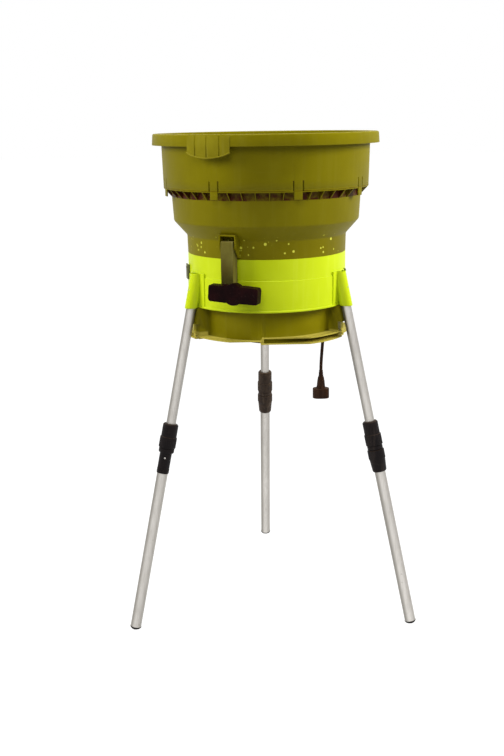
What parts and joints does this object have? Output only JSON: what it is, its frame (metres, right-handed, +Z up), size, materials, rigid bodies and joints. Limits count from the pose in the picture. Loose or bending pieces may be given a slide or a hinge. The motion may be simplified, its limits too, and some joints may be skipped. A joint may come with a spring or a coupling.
{
  "type": "leaf shredder",
  "caption": "Electric leaf shredder: a wide open hopper over a ring with a line-cutting motor, a clamp latch, a discharge skirt, a short cord with a plug, and three splayed telescopic legs.",
  "frame": {"origin": "the point on the floor under the hopper's and the motor's common axis", "axes": "+Z up along the drum's axis, -Y towards the side that the clamp latch is seen from, +X to the right of that view, the back leg in the +Y half of the YZ plane"},
  "size_m": [0.673, 0.6439, 1.128],
  "materials": {
    "hopper_plastic": "moulded olive plastic, slightly satin, dusty and scuffed",
    "latch_plastic": "moulded grey-olive plastic, satin",
    "lime_plastic": "moulded bright lime plastic with a soft shine",
    "black_plastic": "moulded black plastic",
    "grey_plastic": "moulded grey plastic",
    "brown_plastic": "dark brown moulded plastic, satin",
    "knob_plastic": "coarsely pebbled black plastic",
    "collar_plastic": "dusty black moulded plastic",
    "back_collar_plastic": "weathered brown-grey moulded plastic",
    "red_plastic": "red moulded plastic",
    "dark_button": "dark moulded plastic",
    "silver_tube": "pale drawn metal tube",
    "plated_steel": "zinc-plated steel",
    "bearing_steel": "ground steel",
    "lamination_steel": "stacked steel sheet",
    "copper_wire": "enamelled copper",
    "brass_fitting": "turned brass",
    "carbon": "pressed carbon",
    "black_rubber": "black rubber",
    "orange_line": "orange nylon line",
    "cord_rubber": "dark brown rubber-sheathed cord"
  },
  "bodies": {
    "root": {"base_ring": "lime_plastic", "chamber_liner": "black_plastic", "discharge_skirt": "hopper_plastic", "skirt_screws": "plated_steel", "socket_screws": "plated_steel", "motor_carrier": "black_plastic", "carrier_screws": "plated_steel", "motor_cover": "brown_plastic", "cover_screws": "plated_steel", "stator": "lamination_steel", "field_coils": "copper_wire", "upper_bearing": "bearing_steel", "lower_bearing": "bearing_steel", "brush_holders": "brass_fitting", "carbon_brushes": "carbon", "shaft_seal": "black_rubber", "switch_box": "grey_plastic", "reset_breaker": "black_plastic", "interlock_switch": "black_plastic", "cord_gland": "black_rubber", "cord": "cord_rubber", "plug": "cord_rubber", "plug_blades": "plated_steel", "left_upper_tube": "silver_tube", "right_upper_tube": "silver_tube", "back_upper_tube": "silver_tube"},
    "hopper": {"upper_hopper": "hopper_plastic", "lower_hopper": "hopper_plastic", "latch_pin": "hopper_plastic"},
    "latch_arm": {"latch_arm": "latch_plastic", "clamp_insert": "brass_fitting"},
    "clamp_pad": {"clamp_pad": "black_rubber"},
    "clamp_knob": {"clamp_knob": "knob_plastic", "clamp_screw": "plated_steel"},
    "rotor": {"motor_shaft": "bearing_steel", "armature": "lamination_steel", "armature_windings": "copper_wire", "commutator": "copper_wire", "cooling_fan": "black_plastic", "line_head": "black_plastic", "cutting_lines": "orange_line", "head_nut": "plated_steel"},
    "switch_rocker": {"switch_rocker": "black_plastic"},
    "reset_button": {"reset_button": "dark_button"},
    "interlock_plunger": {"interlock_plunger": "red_plastic"},
    "left_leg": {"left_sleeve": "collar_plastic", "left_lower_tube": "silver_tube", "left_foot": "black_rubber"},
    "left_upper_nut": {"left_upper_nut": "collar_plastic"},
    "right_leg": {"right_sleeve": "collar_plastic", "right_lower_tube": "silver_tube", "right_foot": "black_rubber"},
    "right_upper_nut": {"right_upper_nut": "collar_plastic"},
    "right_lower_nut": {"right_lower_nut": "collar_plastic"},
    "back_leg": {"back_sleeve": "back_collar_plastic", "back_lower_tube": "silver_tube", "back_foot": "black_rubber"},
    "back_upper_nut": {"back_upper_nut": "back_collar_plastic"},
    "back_lower_nut": {"back_lower_nut": "back_collar_plastic"}
  },
  "joints": [
    {"name": "hopper_lift", "type": "slide", "parent": "root", "child": "hopper", "axis": [0, 0, 1], "range_m": [0, 0.15]},
    {"name": "latch_swing", "type": "hinge", "parent": "hopper", "child": "latch_arm", "pos_m": [-0.08839, -0.17885, 0.889], "axis": [-0.8965, 0.4431, 0], "range_deg": [0, 80]},
    {"name": "pad_slide", "type": "slide", "parent": "latch_arm", "child": "clamp_pad", "axis": [-0.3437, -0.9391, 0], "range_m": [0, 0.00375]},
    {"name": "knob_turn", "type": "hinge", "parent": "clamp_pad", "child": "clamp_knob", "pos_m": [-0.07664, -0.20942, 0.793], "axis": [-0.3437, -0.9391, 0], "range_deg": [0, 1080]},
    {"name": "rotor_spin", "type": "hinge", "parent": "root", "child": "rotor", "pos_m": [0, 0, 0.7], "axis": [0, 0, 1], "continuous": true},
    {"name": "switch_rock", "type": "hinge", "parent": "root", "child": "switch_rocker", "pos_m": [-0.18098, -0.03029, 0.819], "axis": [-0.165, 0.9863, 0], "range_deg": [0, 12]},
    {"name": "reset_press", "type": "slide", "parent": "root", "child": "reset_button", "axis": [-0.9511, 0.309, 0], "range_m": [0, 0.002], "stiffness_N_per_m": 300, "springref_m": -0.001},
    {"name": "interlock_rise", "type": "slide", "parent": "root", "child": "interlock_plunger", "axis": [0, 0, 1], "range_m": [0, 0.003]},
    {"name": "left_leg_slide", "type": "slide", "parent": "root", "child": "left_leg", "axis": [0.1948, 0.1125, 0.9744], "range_m": [0, 0.2]},
    {"name": "right_leg_slide", "type": "slide", "parent": "root", "child": "right_leg", "axis": [-0.1948, 0.1125, 0.9744], "range_m": [0, 0.2]},
    {"name": "back_leg_slide", "type": "slide", "parent": "root", "child": "back_leg", "axis": [0, -0.225, 0.9744], "range_m": [0, 0.2]},
    {"name": "left_upper_nut_turn", "type": "hinge", "parent": "left_leg", "child": "left_upper_nut", "pos_m": [-0.32451, -0.18736, 0], "axis": [0.1948, 0.1125, 0.9744], "range_deg": [0, 120]},
    {"name": "right_upper_nut_turn", "type": "hinge", "parent": "right_leg", "child": "right_upper_nut", "pos_m": [0.32451, -0.18736, 0], "axis": [-0.1948, 0.1125, 0.9744], "range_deg": [0, 120]},
    {"name": "back_upper_nut_turn", "type": "hinge", "parent": "back_leg", "child": "back_upper_nut", "pos_m": [0, 0.37471, 0], "axis": [0, -0.225, 0.9744], "range_deg": [0, 120]},
    {"name": "right_lower_nut_turn", "type": "hinge", "parent": "right_leg", "child": "right_lower_nut", "pos_m": [0.32451, -0.18736, 0], "axis": [-0.1948, 0.1125, 0.9744], "range_deg": [0, 120]},
    {"name": "back_lower_nut_turn", "type": "hinge", "parent": "back_leg", "child": "back_lower_nut", "pos_m": [0, 0.37471, 0], "axis": [0, -0.225, 0.9744], "range_deg": [0, 120]}
  ],
  "couplings": [
    {"joint": "pad_slide", "follows": "knob_turn", "m_per_rad": 0.000198},
    {"joint": "interlock_rise", "follows": "hopper_lift", "ratio": 0.02}
  ]
}
